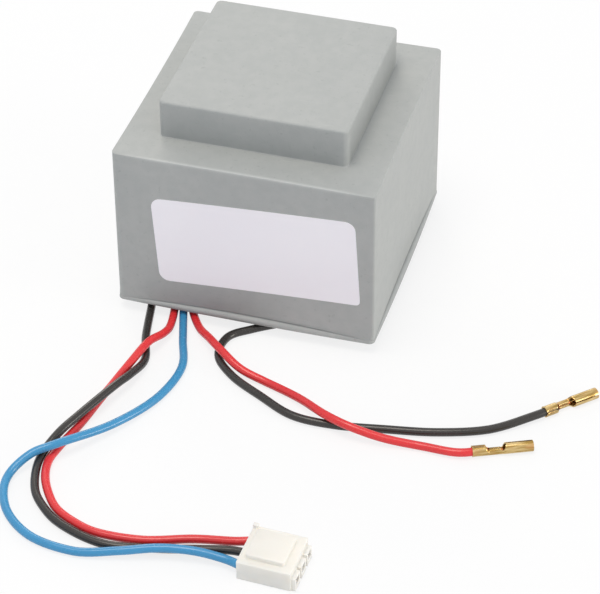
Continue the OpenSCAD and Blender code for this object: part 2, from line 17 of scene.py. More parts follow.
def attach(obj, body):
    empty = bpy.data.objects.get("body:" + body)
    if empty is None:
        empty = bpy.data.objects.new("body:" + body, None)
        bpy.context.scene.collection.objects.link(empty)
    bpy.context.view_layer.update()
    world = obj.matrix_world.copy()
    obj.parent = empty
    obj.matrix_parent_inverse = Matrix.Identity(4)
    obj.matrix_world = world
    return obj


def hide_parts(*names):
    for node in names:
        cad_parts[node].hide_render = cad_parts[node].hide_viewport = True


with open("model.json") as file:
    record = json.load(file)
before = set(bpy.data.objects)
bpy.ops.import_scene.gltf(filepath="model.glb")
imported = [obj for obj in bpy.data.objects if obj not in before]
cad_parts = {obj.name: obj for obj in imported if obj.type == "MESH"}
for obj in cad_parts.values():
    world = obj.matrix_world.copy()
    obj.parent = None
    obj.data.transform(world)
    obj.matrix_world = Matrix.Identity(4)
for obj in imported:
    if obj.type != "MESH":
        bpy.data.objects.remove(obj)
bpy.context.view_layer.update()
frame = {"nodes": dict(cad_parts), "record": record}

solids = frame["nodes"]
MM = 0.001

# %% [markdown]
# ## The camera
# A product photograph is usually taken with a long lens from some distance, so the verticals hardly
# converge. The place and the angles below were solved from the straight edges of the case. The camera
# could also be aimed with a Track To constraint, but a plain matrix keeps the small roll exactly.

# %% Camera
PHOTO_WIDTH = 600
FOCAL_PIXELS = 2518.5
SENSOR_MM = 36.0
EYE_MM = (145.0, -475.7, 391.8)
AZIMUTH, ELEVATION, ROLL = (math.radians(v) for v in (16.45, 39.26, -0.31))


def camera_matrix():
    ahead = Vector((-math.sin(AZIMUTH) * math.cos(ELEVATION),
                    math.cos(AZIMUTH) * math.cos(ELEVATION), -math.sin(ELEVATION)))
    level = Vector((math.cos(AZIMUTH), math.sin(AZIMUTH), 0.0))
    upright = level.cross(ahead)
    right = level * math.cos(ROLL) + upright * math.sin(ROLL)
    up = upright * math.cos(ROLL) - level * math.sin(ROLL)
    matrix = Matrix((right, up, -ahead)).transposed().to_4x4()
    matrix.translation = Vector(EYE_MM) * MM
    return matrix


def keep(obj):
    bpy.context.scene.collection.objects.link(obj)
    return obj


camera_data = bpy.data.cameras.new("camera")
camera_data.sensor_width = SENSOR_MM
camera_data.lens = FOCAL_PIXELS / PHOTO_WIDTH * SENSOR_MM
camera_data.clip_start, camera_data.clip_end = 0.01, 20.0
camera = keep(bpy.data.objects.new("camera", camera_data))
camera.matrix_world = camera_matrix()
bpy.context.scene.camera = camera
print("lens:", round(camera_data.lens, 2), "mm")

# %% [markdown]
# ## Shader helpers
# Colours are written as sRGB hex values, as a colour picker shows them, and shaders want linear light.
# One function turns the first into the second. Another adds a node with its settings and its links,
# so that a material reads from top to bottom. Pattern scales come from sizes in millimetres.


# %% Shader helpers
def linear(hex_colour):
    parts = [int(hex_colour[i:i + 2], 16) / 255 for i in (1, 3, 5)]
    return [v / 12.92 if v <= 0.04045 else ((v + 0.055) / 1.055) ** 2.4 for v in parts] + [1.0]


def plug(tree, node, sockets):
    """Sets inputs of a node: to a value, to an output, or to the first enabled output of a node."""
    for name, value in sockets.items():
        if isinstance(value, bpy.types.Node):
            value = next(output for output in value.outputs if output.enabled)
        if isinstance(value, bpy.types.NodeSocket):
            tree.links.new(value, node.inputs[name])
        else:
            node.inputs[name].default_value = value
    return node


def add(tree, kind, sockets=None, **settings):
    made = tree.nodes.new(kind)
    for name, value in settings.items():
        setattr(made, name, value)
    return plug(tree, made, sockets or {})


def per_mm(size):
    """Texture scale at which one feature is about this many millimetres wide, in metres of the model."""
    return 1.0 / (size * MM)


def new_material(name):
    material = bpy.data.materials.new(name)
    material.use_nodes = True
    tree = material.node_tree
    place = add(tree, "ShaderNodeTexCoord").outputs["Object"]
    return material, tree, tree.nodes["Principled BSDF"], place


print("middle grey in linear light:", round(linear("#808080")[0], 3))

# %% [markdown]
# ## The case's plastic
# The cup is a moulded thermoplastic, most likely PBT: a cool grey with a fine eroded texture that
# scatters light, faint flow clouds and blotches, tiny pits and a few pale scuffs from handling. Painted
# shade darkens the creases, the foot and sides of the step and the underside of the bead, the lower
# walls are darker, most round the leads' exit, and a painted highlight lightens the front edge: an
# attribute of the mesh, above nought for darker and below it for the painted highlight, says where.
# The fine texture is about 0.2 mm on the real case; it is drawn at 0.5 mm, because anything finer is
# lost in the render.


# %% Moulded grey plastic
# Blotches, pits and drawn-out scuffs: size in millimetres, detail, span of the noise, most, tone
MARKS = ((2.6, 3.0, (0.35, 0.65), 0.3, "#A0A4A2"), (0.9, 2.0, (0.64, 0.76), 0.3, "#858A88"),
         (0.9, 2.0, (0.69, 0.82), 0.25, "#C6C8C5"))


def moulded_grey():
    material, tree, shader, place = new_material("moulded_pbt_grey")
    cloud = add(tree, "ShaderNodeTexNoise", {"Vector": place, "Scale": per_mm(16), "Detail": 4.0})
    tone = add(tree, "ShaderNodeMix", {"Factor": cloud, "A": linear("#A7AAA8"), "B": linear("#B5B7B4")},
               data_type="RGBA")
    drawn = add(tree, "ShaderNodeMapping", {"Vector": place, "Rotation": (0.3, 0.5, 0.7),
                                           "Scale": (0.08, 1.0, 1.0)})
    for where, (size, detail, span, most, colour) in zip((place, place, drawn), MARKS):
        mark = add(tree, "ShaderNodeTexNoise", {"Vector": where, "Scale": per_mm(size), "Detail": detail})
        share = add(tree, "ShaderNodeMapRange", {"Value": mark, "From Min": span[0], "From Max": span[1],
                                                "To Max": most})
        tone = add(tree, "ShaderNodeMix", {"Factor": share, "A": tone, "B": linear(colour)},
                   data_type="RGBA")
    # Painted light from a mesh attribute: above nought painted shade darkens, in cloudy patches, and
    # below nought a painted highlight lightens
    painted_light = add(tree, "ShaderNodeAttribute", attribute_name="painted_light").outputs["Fac"]
    painted_highlight = add(tree, "ShaderNodeMapRange", {"Value": painted_light, "From Max": -1.0, "To Max": 0.5})
    patch = add(tree, "ShaderNodeMapRange", {"Value": cloud, "To Min": 0.3, "To Max": 0.8})
    dusty = add(tree, "ShaderNodeMath", {0: painted_light, 1: patch}, operation="MULTIPLY")
    for share, colour in ((painted_highlight, "#D8DAD7"), (dusty, "#5C6160")):
        tone = add(tree, "ShaderNodeMix", {"Factor": share, "A": tone, "B": linear(colour)},
                   data_type="RGBA")
    gloss = add(tree, "ShaderNodeMapRange", {"Value": cloud, "To Min": 0.5, "To Max": 0.66})
    wave = add(tree, "ShaderNodeTexNoise", {"Vector": place, "Scale": per_mm(9), "Detail": 1.0})
    slow = add(tree, "ShaderNodeBump", {"Height": wave, "Strength": 0.5, "Distance": 0.12 * MM})
    grain = add(tree, "ShaderNodeTexNoise", {"Vector": place, "Scale": per_mm(0.5), "Detail": 3.0})
    fine = add(tree, "ShaderNodeBump", {"Height": grain, "Strength": 0.35, "Distance": 0.06 * MM,
                                       "Normal": slow})
    plug(tree, shader, {"Base Color": tone, "Roughness": gloss, "IOR": 1.5, "Normal": fine})
    return material


case_plastic = moulded_grey()
print("plastic:", case_plastic.name)

# %% [markdown]
# ## The case
# A cup with a stepped bottom could be a cube with loop cuts and bevels. Here it is lofted instead: one
# outline, a rectangle with rounded corners whose sides may bow in or out, is repeated down the inside
# and up the outside with other sizes. That gives the true wall, the sunk sides (resin shrinks as it
# sets), the bead round the mouth that swells between the corners, a slight draft so that the cup leaves
# its mould, and a radius on every edge, all in one closed mesh.

# %% Sizes of the case
CASE_W, CASE_D, CASE_H = 64.0, 63.6, 43.8
WALL = 2.0
# Corner radii go round from the back right to the front right
CORNER_R, RIM_CORNER_R = (1.3, 1.0, 1.5, 0.5), (1.2, 1.2, 1.2, 1.2)
SHOULDER_R = 0.18
SIDE_SINK, RIM_BOW, RIM_RISE, DRAFT = 0.3, 0.5, 0.4, 0.15
RIM_Z = 2.7
RESIN_Z = 6.2
SHOULDER_Z = RIM_Z + CASE_H
PLATEAU_W, PLATEAU_D, PLATEAU_H = 45.8, 45.7, 9.9
PLATEAU_R, PLATEAU_EDGE_R, PLATEAU_FOOT_R = 1.2, 0.5, 0.2
PLATEAU_AT = (-0.2, 0.65)
TOP_Z, LEDGE_Z = SHOULDER_Z + PLATEAU_H, SHOULDER_Z - WALL
SIDE_STEPS, CORNER_STEPS, EDGE_STEPS, FOOT_STEPS = 24, 6, 5, 3
# How much of an inset a corner radius loses, and the least that is left of it
CORNER_LOSS, CORNER_LEAST, STEP_LOSS, STEP_LEAST = 0.5, 0.4, 0.3, 0.3
print("case:", CASE_W, "by", CASE_D, "mm, with its top at", round(TOP_Z, 2), "mm")

# %% Rows of the case
# Inner edge of the mouth: how far the wall is thinned, height over the mouth
MOUTH = ((0.0, 0.4), (0.12, 0.12), (0.4, 0.0))
# Under the bead: inset, height. Over it: height, share of the bow, share of the painted shade
BEAD_FOOT, BEAD_OUT = 0.6, 0.1
BEAD_UNDER = ((0.3, 0.06), (0.1, 0.2), (-0.03, 0.42), (-BEAD_OUT, 0.6))
BEAD_OVER = ((0.85, 0.93, 1.0), (1.1, 0.78, 0.35), (1.35, 0.56, 0.0), (1.55, 0.28, 0.0), (1.7, -0.1, 0.0))
# Crease between bead and wall: inset, height, how much deeper than the wall, share of the painted shade
CREASE = ((0.04, 1.78, 0.16, 1.0), (0.04, 1.95, 0.16, 1.0), (0.0, 2.15, 0.0, 0.35))
# Distance up the wall or the step, or from an edge, with the share of the painted light there
LOW_WALL_ROWS = ((2.7, 1.0), (4.1, 1.0), (5.6, 0.75), (7.6, 0.45), (10.0, 0.2), (13.0, 0.0))
PLAIN_SHARES = (0.5, 0.75)
HIGHLIGHT_BELOW, HIGHLIGHT_BEHIND = ((0.9, 0.0), (0.3, 0.3)), ((0.25, 0.7), (0.7, 0.0))
FOOT_OUT_ROWS, FOOT_UP_ROWS = (0.5, 0.1), ((0.25, 0.45), (1.2, 0.3), (3.2, 0.12))
STEP_MIDDLE, STEP_TOP, STEP_TOP_SHARE, TOP_INSET = 0.5, 0.9, 0.5, 1.0
print("rows of the bead:", 1 + len(BEAD_UNDER) + len(BEAD_OVER) + len(CREASE))

# %% Painted shade and highlight
# On the right, back, left and front side. Darker above nought, a painted highlight below it
NO_PAINTED_SHADING = NO_SHIFT = (0.0, 0.0, 0.0, 0.0)
# Painted shade in the crease above the bead
CREASE_SHADE = (1.0, 0.7, 0.7, 0.5)
# Painted shade on the lower half of the bead
UNDER_BEAD_SHADE = (0.2, 0.3, 0.3, 0.75)
# Painted shade at the foot of the step
FOOT_SHADE = (0.7, 0.3, 0.3, 0.2)
# Painted shade on the sides of the step, most on the right
STEP_SIDE_SHADE = (0.34, 0.1, 0.1, 0.18)
# Darker low on the walls, most in the middle of the front, round the leads' exit
LOW_WALL_DARKENING = (0.25, 0.1, 0.1, 0.5)
# Where along a side the darkening is most: just left of the middle of the front, by the leads
LEAD_EXIT_SPOT = {"middle": (0.05, 0.0, 0.0, -0.26), "reach": 0.65}
# Painted highlight along the front edge of the shoulder
EDGE_HIGHLIGHT = (0.0, 0.0, 0.0, -0.8)
# The higher its fade, the more evenly the painted light lies along a side
SOFT_FADE, LOW_WALL_FADE, HIGHLIGHT_FADE, STEP_FADE = 1.5, 1.0, 2.0, 6.0


def faded(dust, share):
    return [share * v for v in dust]


def spread_along_side(strength, t, middle, reach, fade):
    """Painted light at a place along a side, from -1 to 1: most at its middle, none past its reach."""
    return strength * max(0.0, min(1.0, fade * (1 - ((t - middle) / reach) ** 2)))


# The painted shade in the crease on each side
print("dust in the crease on each side:", CREASE_SHADE)


# %% Outlines of the case
def outline(half_w, half_d, radii, bow, z, centre=(0.0, 0.0), rise=0.0,
            dust=NO_PAINTED_SHADING, fade=SOFT_FADE, middle=NO_SHIFT, reach=1.0):
    """Points of one outline, each with its painted light. Sides swell by bow and lift by rise in the
    middle.
    """
    ring = []
    for turn, (c, s) in enumerate(((1, 0), (0, 1), (-1, 0), (0, -1))):
        out, along = (half_w, half_d) if turn % 2 == 0 else (half_d, half_w)
        radius = radii[turn]
        start, end = radii[turn - 1] - along, along - radius
        points = []
        for i in range(SIDE_STEPS + 1):
            t = 2 * i / SIDE_STEPS - 1
            swell = 1 - t * t
            points.append((out + bow * swell, start + (end - start) * (t + 1) / 2, z + rise * swell,
                           spread_along_side(dust[turn], t, middle[turn], reach, fade)))
        for i in range(1, CORNER_STEPS):
            a = math.pi / 2 * i / CORNER_STEPS
            points.append((out - radius + radius * math.cos(a), end + radius * math.sin(a), z, 0.0))
        ring += [(Vector((c * o - s * a + centre[0], s * o + c * a + centre[1], h)) * MM, grey)
                 for o, a, h, grey in points]
    return ring


def draft(z):
    """How far a wall stands out at a height, since the cup widens towards its mouth."""
    return DRAFT * (SHOULDER_Z - z) / CASE_H


def case_ring(inset, z, bow, corner=CORNER_R, **more):
    radii = [max(r - inset * CORNER_LOSS, CORNER_LEAST) for r in corner]
    return outline(CASE_W / 2 - inset, CASE_D / 2 - inset, radii, bow, z, **more)


def bead_ring(inset, up, bow, **more):
    return case_ring(inset - DRAFT, RIM_Z + (1 - RIM_RISE) * up, bow, RIM_CORNER_R, rise=RIM_RISE * up,
                     **more)


def wall_ring(z, **more):
    return case_ring(-draft(z), z, -SIDE_SINK, **more)


def step_ring(inset, z, **more):
    radii = [max(PLATEAU_R - inset * STEP_LOSS, STEP_LEAST)] * 4
    return outline(PLATEAU_W / 2 - inset, PLATEAU_D / 2 - inset, radii, 0.0, z, PLATEAU_AT, **more)


def quarter(radius, steps):
    """A quarter round: how far each of its points lies in from one face and down from the other."""
    angles = [math.pi / 2 * i / steps for i in range(steps + 1)]
    return [(radius * (1 - math.cos(a)), radius * (1 - math.sin(a))) for a in angles]


print("points of an outline:", len(wall_ring(RIM_Z)))


# %% Rows down the inside and up the outside
def inside_rings():
    return ([step_ring(WALL, TOP_Z - WALL), step_ring(WALL, LEDGE_Z), case_ring(WALL, LEDGE_Z, 0)]
            + [case_ring(WALL - thinned, RIM_Z + up, 0) for thinned, up in MOUTH])


def bead_rings():
    rings = [bead_ring(BEAD_FOOT, 0.0, RIM_BOW)]
    # Painted shade on the lower half of the bead
    for inset, up in BEAD_UNDER:
        rings.append(bead_ring(inset, up, RIM_BOW, dust=UNDER_BEAD_SHADE, **LEAD_EXIT_SPOT))
    for up, bow, share in BEAD_OVER:
        rings.append(bead_ring(-BEAD_OUT * bow, up, RIM_BOW * bow, dust=faded(UNDER_BEAD_SHADE, share),
                               **LEAD_EXIT_SPOT))
    # Painted shade in the crease above the bead
    for inset, up, deeper, share in CREASE:
        rings.append(bead_ring(inset, up, -SIDE_SINK - deeper, dust=faded(CREASE_SHADE, share)))
    return rings


def wall_rings():
    # Darker low on the walls
    rings = [wall_ring(RIM_Z + up, dust=faded(LOW_WALL_DARKENING, share), fade=LOW_WALL_FADE, **LEAD_EXIT_SPOT)
             for up, share in LOW_WALL_ROWS]
    rings += [wall_ring(RIM_Z + share * CASE_H) for share in PLAIN_SHARES]
    # Painted highlight along the front edge of the shoulder
    rings += [wall_ring(SHOULDER_Z - SHOULDER_R - down, dust=faded(EDGE_HIGHLIGHT, share), fade=HIGHLIGHT_FADE)
              for down, share in HIGHLIGHT_BELOW]
    rings += [case_ring(inset, SHOULDER_Z - down, -SIDE_SINK, dust=EDGE_HIGHLIGHT, fade=HIGHLIGHT_FADE)
              for inset, down in quarter(SHOULDER_R, EDGE_STEPS)]
    rings += [case_ring(SHOULDER_R + inset, SHOULDER_Z, -SIDE_SINK, dust=faded(EDGE_HIGHLIGHT, share),
                        fade=HIGHLIGHT_FADE) for inset, share in HIGHLIGHT_BEHIND]
    return rings


def plateau_rings():
    rings = [step_ring(-PLATEAU_FOOT_R - out, SHOULDER_Z) for out in FOOT_OUT_ROWS]
    # Painted shade at the foot of the step
    rings += [step_ring(-out, SHOULDER_Z + up, dust=FOOT_SHADE, fade=STEP_FADE)
              for up, out in quarter(PLATEAU_FOOT_R, FOOT_STEPS)]
    # Painted shade on the sides of the step, most at its foot, half as much near its top
    for up, share in FOOT_UP_ROWS:
        dust = [share * foot + side for foot, side in zip(FOOT_SHADE, STEP_SIDE_SHADE)]
        rings.append(step_ring(0.0, SHOULDER_Z + PLATEAU_FOOT_R + up, dust=dust, fade=STEP_FADE))
    rings.append(step_ring(0.0, SHOULDER_Z + STEP_MIDDLE * PLATEAU_H, dust=STEP_SIDE_SHADE, fade=STEP_FADE))
    rings.append(step_ring(0.0, TOP_Z - PLATEAU_EDGE_R - STEP_TOP, dust=faded(STEP_SIDE_SHADE, STEP_TOP_SHARE),
                           fade=STEP_FADE))
    rings += [step_ring(inset, TOP_Z - down) for inset, down in quarter(PLATEAU_EDGE_R, EDGE_STEPS)]
    rings.append(step_ring(PLATEAU_EDGE_R + TOP_INSET, TOP_Z))
    return rings


case_rows = inside_rings() + bead_rings() + wall_rings() + plateau_rings()
print("rows of the case:", len(case_rows))


# %% Loft of the case
def loft(name, rows, material):
    bm = bmesh.new()
    # Each point carries its painted light: above nought darker, below nought lighter
    painted_light = bm.verts.layers.float.new("painted_light")
    rings = []
    for row in rows:
        ring = []
        for point, grey in row:
            ring.append(bm.verts.new(point))
            ring[-1][painted_light] = grey
        rings.append(ring)
    count = len(rings[0])
    for lower, upper in zip(rings, rings[1:]):
        for i in range(count):
            j = (i + 1) % count
            bm.faces.new((lower[i], lower[j], upper[j], upper[i]))
    bm.faces.new(list(reversed(rings[0])))
    bm.faces.new(rings[-1])
    for face in bm.faces:
        face.smooth = True
    mesh = bpy.data.meshes.new(name)
    bm.to_mesh(mesh)
    bm.free()
    mesh.materials.append(material)
    return keep(bpy.data.objects.new(name, mesh))


def settle(obj):
    """Bakes an object's modifiers into a plain mesh, so that nothing is left live on it."""
    graph = bpy.context.evaluated_depsgraph_get()
    graph.update()
    mesh = bpy.data.meshes.new_from_object(obj.evaluated_get(graph), preserve_all_data_layers=True,
                                           depsgraph=graph)
    obj.modifiers.clear()
    obj.data = mesh
    return obj


case_shell = loft("case_shell", case_rows, case_plastic)
weighted = case_shell.modifiers.new("even_shading", "WEIGHTED_NORMAL")
weighted.keep_sharp = False
settle(case_shell)
print("case:", len(case_shell.data.polygons), "faces")

# %% [markdown]
# ## Ribs and feet under the rim
# Eight ribs down the inside of the wall centre the core, and each ends in a small foot that lifts the
# rim, so that the leads can pass under it. A foot is a hair slimmer than its rib, so that no two faces
# coincide. They repeat, so Geometry Nodes set one block on eight points: the tree has inputs for the
# block's size and finish, and ends in Realize Instances and Set Material.

# %% A tree that sets a block on each point
RIB_W, RIB_OUT, RIB_SINK, RIB_SOFT = 2.0, 2.4, 0.3, 0.15
FOOT_HIDE, FOOT_LESS, FOOT_CLEAR, FOOT_SOFT = 1.0, 0.05, 0.5, 0.2
RIB_INSET, RIB_SET = 2.5, 14.8
RIB_X = CASE_W / 2 - WALL - RIB_INSET
RIB_Y = CASE_D / 2 - WALL - RIB_SET


def blocks_tree():
    tree = bpy.data.node_groups.new("blocks_on_points", "GeometryNodeTree")
    face = tree.interface
    face.new_socket("Geometry", in_out="INPUT", socket_type="NodeSocketGeometry")
    size = face.new_socket("Block size", in_out="INPUT", socket_type="NodeSocketVector")
    look = face.new_socket("Finish", in_out="INPUT", socket_type="NodeSocketMaterial")
    face.new_socket("Geometry", in_out="OUTPUT", socket_type="NodeSocketGeometry")
    given = add(tree, "NodeGroupInput")
    block = add(tree, "GeometryNodeMeshCube", {"Size": given.outputs["Block size"]})
    turn = add(tree, "GeometryNodeInputNamedAttribute", {"Name": "turn"}, data_type="FLOAT")
    spin = add(tree, "ShaderNodeCombineXYZ", {"Z": turn.outputs["Attribute"]})
    rotation = add(tree, "FunctionNodeEulerToRotation", {"Euler": spin.outputs["Vector"]})
    placed = add(tree, "GeometryNodeInstanceOnPoints",
                 {"Points": given.outputs["Geometry"], "Instance": block.outputs["Mesh"],
                  "Rotation": rotation.outputs["Rotation"]})
    real = add(tree, "GeometryNodeRealizeInstances", {"Geometry": placed.outputs["Instances"]})
    faced = add(tree, "GeometryNodeSetMaterial", {"Geometry": real.outputs["Geometry"],
                                                 "Material": given.outputs["Finish"]})
    add(tree, "NodeGroupOutput", {"Geometry": faced.outputs["Geometry"]})
    return tree, size.identifier, look.identifier


rib_tree, SIZE_ID, FINISH_ID = blocks_tree()
print("tree:", rib_tree.name, len(rib_tree.nodes), "nodes")


# %% Ribs and feet
def rib_points(inset, depth, z):
    """Eight points, and the turn of each, so that a block reaches inwards from the inner wall."""
    far = inset + depth / 2
    x, y = CASE_W / 2 - WALL - far, CASE_D / 2 - WALL - far
    ends = [((sx * RIB_X, sy * y, z), 0.0) for sx in (-1, 1) for sy in (-1, 1)]
    sides = [((sx * x, sy * RIB_Y, z), math.pi / 2) for sx in (-1, 1) for sy in (-1, 1)]
    return ends + sides


def blocks(name, points, size_mm, soft_mm):
    mesh = bpy.data.meshes.new(name)
    mesh.from_pydata([Vector(p) * MM for p, _ in points], [], [])
    mesh.attributes.new("turn", "FLOAT", "POINT").data.foreach_set("value", [t for _, t in points])
    obj = keep(bpy.data.objects.new(name, mesh))
    nodes = obj.modifiers.new("blocks", "NODES")
    nodes.node_group = rib_tree
    nodes[SIZE_ID] = [v * MM for v in size_mm]
    nodes[FINISH_ID] = case_plastic
    soft = obj.modifiers.new("soft_edges", "BEVEL")
    soft.width, soft.segments = soft_mm * MM, 2
    settle(obj)
    print(name, len(obj.data.polygons), "faces")
    return obj


def dress(obj, node):
    """Ties a piece to the one body and hides the CAD node that it stands for."""
    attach(obj, "root")
    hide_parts(node)
    return obj


# A rib is sunk into the wall and the ledge, and starts as far above the mouth
RIB_LOW, RIB_TOP = RIM_Z + RIB_SINK, LEDGE_Z + RIB_SINK
guide_ribs = blocks("guide_ribs", rib_points(-RIB_SINK, RIB_OUT + RIB_SINK, (RIB_LOW + RIB_TOP) / 2),
                    (RIB_W, RIB_OUT + RIB_SINK, RIB_TOP - RIB_LOW), RIB_SOFT)
FOOT_OUT, FOOT_TOP = RIB_OUT - FOOT_HIDE - FOOT_LESS, RESIN_Z - FOOT_CLEAR
stand_feet = blocks("stand_feet", rib_points(FOOT_HIDE, FOOT_OUT, FOOT_TOP / 2),
                    (RIB_W - 2 * FOOT_LESS, FOOT_OUT, FOOT_TOP), FOOT_SOFT)
for piece in (case_shell, guide_ribs, stand_feet):
    dress(piece, "housing")

# %% [markdown]
# ## The label
# A white paper label with rounded corners, one of them trimmed closer, stuck on by hand a few degrees
# out of level. It is left blank. A plane cut by a boolean would be flat, but the wall under it is
# hollow, so the sheet is built as a grid whose rows shrink towards the rounded ends and whose points all
# sit on the wall's curve.


# %% Label paper
def coated_paper():
    material, tree, shader, place = new_material("coated_label_paper")
    fibre = add(tree, "ShaderNodeTexNoise", {"Vector": place, "Scale": per_mm(1.2), "Detail": 6.0})
    cloud = add(tree, "ShaderNodeTexNoise", {"Vector": place, "Scale": per_mm(14), "Detail": 3.0})
    tone = add(tree, "ShaderNodeMix", {"Factor": cloud, "A": linear("#F6F3F8"), "B": linear("#FDFBFE")},
               data_type="RGBA")
    gloss = add(tree, "ShaderNodeMapRange", {"Value": fibre, "To Min": 0.38, "To Max": 0.55})
    relief = add(tree, "ShaderNodeBump", {"Height": fibre, "Strength": 0.2, "Distance": 0.02 * MM})
    plug(tree, shader, {"Base Color": tone, "Roughness": gloss, "Normal": relief})
    return material


label_paper = coated_paper()
print("paper:", label_paper.name)

# %% Blank label
LABEL_W, LABEL_H, LABEL_T = 50.0, 24.2, 0.12
LABEL_R, LABEL_TRIMMED_R = 2.5, 1.1
LABEL_AT = (3.0, RIM_Z + 22.0)
LABEL_TURN = math.radians(-3.6)
LABEL_COLUMNS, LABEL_ROWS, LABEL_END_ROWS = 40, 12, 6


def wall_y(x, z):
    """The front wall between its two corners, which differ, at a height."""
    start, end = CORNER_R[2] - CASE_W / 2, CASE_W / 2 - CORNER_R[3]
    t = 2 * (x - start) / (end - start) - 1
    return -CASE_D / 2 - draft(z) + SIDE_SINK * (1 - t * t)


def label_half(v, radius):
    """Half width at a height across the label, for a corner of this radius."""
    past = max(0.0, abs(v) - (LABEL_H / 2 - radius))
    return LABEL_W / 2 - radius + math.sqrt(max(radius ** 2 - past ** 2, 0.0))


def label_rows():
    """Heights across the label, closer together in the rounded ends, with its left and right edge."""
    flat = LABEL_H / 2 - LABEL_R
    angles = [math.pi / 2 * i / LABEL_END_ROWS for i in range(LABEL_END_ROWS + 1)]
    ends = [flat + LABEL_R * math.sin(a) for a in angles]
    middle = [-flat + 2 * flat * i / LABEL_ROWS for i in range(1, LABEL_ROWS)]
    return [(v, -label_half(v, LABEL_R), label_half(v, LABEL_R if v > 0 else LABEL_TRIMMED_R))
            for v in [-v for v in reversed(ends)] + middle + ends]


def label_point(u, v, lift):
    x = LABEL_AT[0] + u * math.cos(LABEL_TURN) + v * math.sin(LABEL_TURN)
    z = LABEL_AT[1] - u * math.sin(LABEL_TURN) + v * math.cos(LABEL_TURN)
    return Vector((x, wall_y(x, z) - lift, z)) * MM


def build_label():
    bm = bmesh.new()
    sheets = []
    for lift in (LABEL_T, 0.0):
        sheets.append([[bm.verts.new(label_point(left + (right - left) * c / LABEL_COLUMNS, v, lift))
                        for c in range(LABEL_COLUMNS + 1)] for v, left, right in label_rows()])
    for sheet, flip in zip(sheets, (False, True)):
        for low, high in zip(sheet, sheet[1:]):
            for c in range(LABEL_COLUMNS):
                quad = (low[c], low[c + 1], high[c + 1], high[c])
                bm.faces.new(tuple(reversed(quad)) if flip else quad)
    rims = [sheet[0] + [row[-1] for row in sheet[1:]] + sheet[-1][-2::-1]
            + [row[0] for row in sheet[-2:0:-1]] for sheet in sheets]
    for i in range(len(rims[0])):
        j = (i + 1) % len(rims[0])
        bm.faces.new((rims[1][i], rims[1][j], rims[0][j], rims[0][i]))
    mesh = bpy.data.meshes.new("blank_label")
    bm.to_mesh(mesh)
    bm.free()
    mesh.materials.append(label_paper)
    return keep(bpy.data.objects.new("blank_label", mesh))


blank_label = dress(build_label(), "label")
print("label:", len(blank_label.data.polygons), "faces")

# %% [markdown]
# ## Metals and plastics of the small parts
# The sockets are rolled from thin brass strip: bright, faintly streaked along the rolling direction,
# with the streaks also serving as painted reflection bands of the tube, redder where the crimping tool
# has worked them, and darkened in the seams with painted shade. The connector is natural nylon: a warm
# white that light enters and leaves again. The leads are soft PVC: smooth, with the long highlight of
# an extruded skin.


# %% Brass strip
SOCKET_TURN = {"red": 24, "black": 44}


def rolled_brass(name, turn):
    material, tree, shader, place = new_material(name)
    along = add(tree, "ShaderNodeMapping", {"Vector": place, "Rotation": (0.0, 0.0, math.radians(turn)),
                                           "Scale": (9.0, 1.0, 1.0)}, vector_type="TEXTURE")
    # Streaks along the strip: rolling marks, and painted reflection bands of the tube
    streak = add(tree, "ShaderNodeTexNoise", {"Vector": along, "Scale": per_mm(0.55), "Detail": 3.0})
    streak_and_reflection = add(tree, "ShaderNodeMapRange", {"Value": streak, "From Min": 0.36, "From Max": 0.62})
    tone = add(tree, "ShaderNodeMix", {"Factor": streak_and_reflection, "A": linear("#A98A4C"), "B": linear("#DCC28C")},
               data_type="RGBA")
    worked = add(tree, "ShaderNodeTexNoise", {"Vector": place, "Scale": per_mm(2.6), "Detail": 2.0})
    warm = add(tree, "ShaderNodeMapRange", {"Value": worked, "From Min": 0.52, "From Max": 0.72,
                                           "To Max": 0.6})
    # Painted shade in the creases where the wings are rolled in
    seam = add(tree, "ShaderNodeAttribute", attribute_name="seam").outputs["Fac"]
    dark = add(tree, "ShaderNodeMath", {0: seam, 1: 0.6}, operation="MULTIPLY")
    for share, colour in ((warm, "#C9935E"), (dark, "#5A4120")):
        tone = add(tree, "ShaderNodeMix", {"Factor": share, "A": tone, "B": linear(colour)},
                   data_type="RGBA")
    gloss = add(tree, "ShaderNodeMapRange", {"Value": streak, "To Min": 0.2, "To Max": 0.36})
    relief = add(tree, "ShaderNodeBump", {"Height": streak, "Strength": 0.35, "Distance": 0.05 * MM})
    plug(tree, shader, {"Base Color": tone, "Metallic": 1.0, "Roughness": gloss, "Normal": relief})
    return material


brass = {colour: rolled_brass("rolled_brass_strip_" + colour, turn)
         for colour, turn in SOCKET_TURN.items()}
print("brass:", [metal.name for metal in brass.values()])


# %% Natural nylon
def natural_nylon():
    material, tree, shader, place = new_material("natural_nylon")
    cloud = add(tree, "ShaderNodeTexNoise", {"Vector": place, "Scale": per_mm(4), "Detail": 3.0})
    grain = add(tree, "ShaderNodeTexNoise", {"Vector": place, "Scale": per_mm(0.4), "Detail": 2.0})
    tone = add(tree, "ShaderNodeMix", {"Factor": cloud, "A": linear("#EDE9DF"), "B": linear("#F4F1E9")},
               data_type="RGBA")
    gloss = add(tree, "ShaderNodeMapRange", {"Value": cloud, "To Min": 0.4, "To Max": 0.55})
    relief = add(tree, "ShaderNodeBump", {"Height": grain, "Strength": 0.2, "Distance": 0.03 * MM})
    plug(tree, shader, {"Base Color": tone, "Roughness": gloss, "IOR": 1.53, "Subsurface Weight": 0.5,
                        "Subsurface Radius": (1.0, 0.9, 0.8), "Subsurface Scale": 1.6 * MM,
                        "Normal": relief})
    return material


nylon = natural_nylon()
print("nylon:", nylon.name)


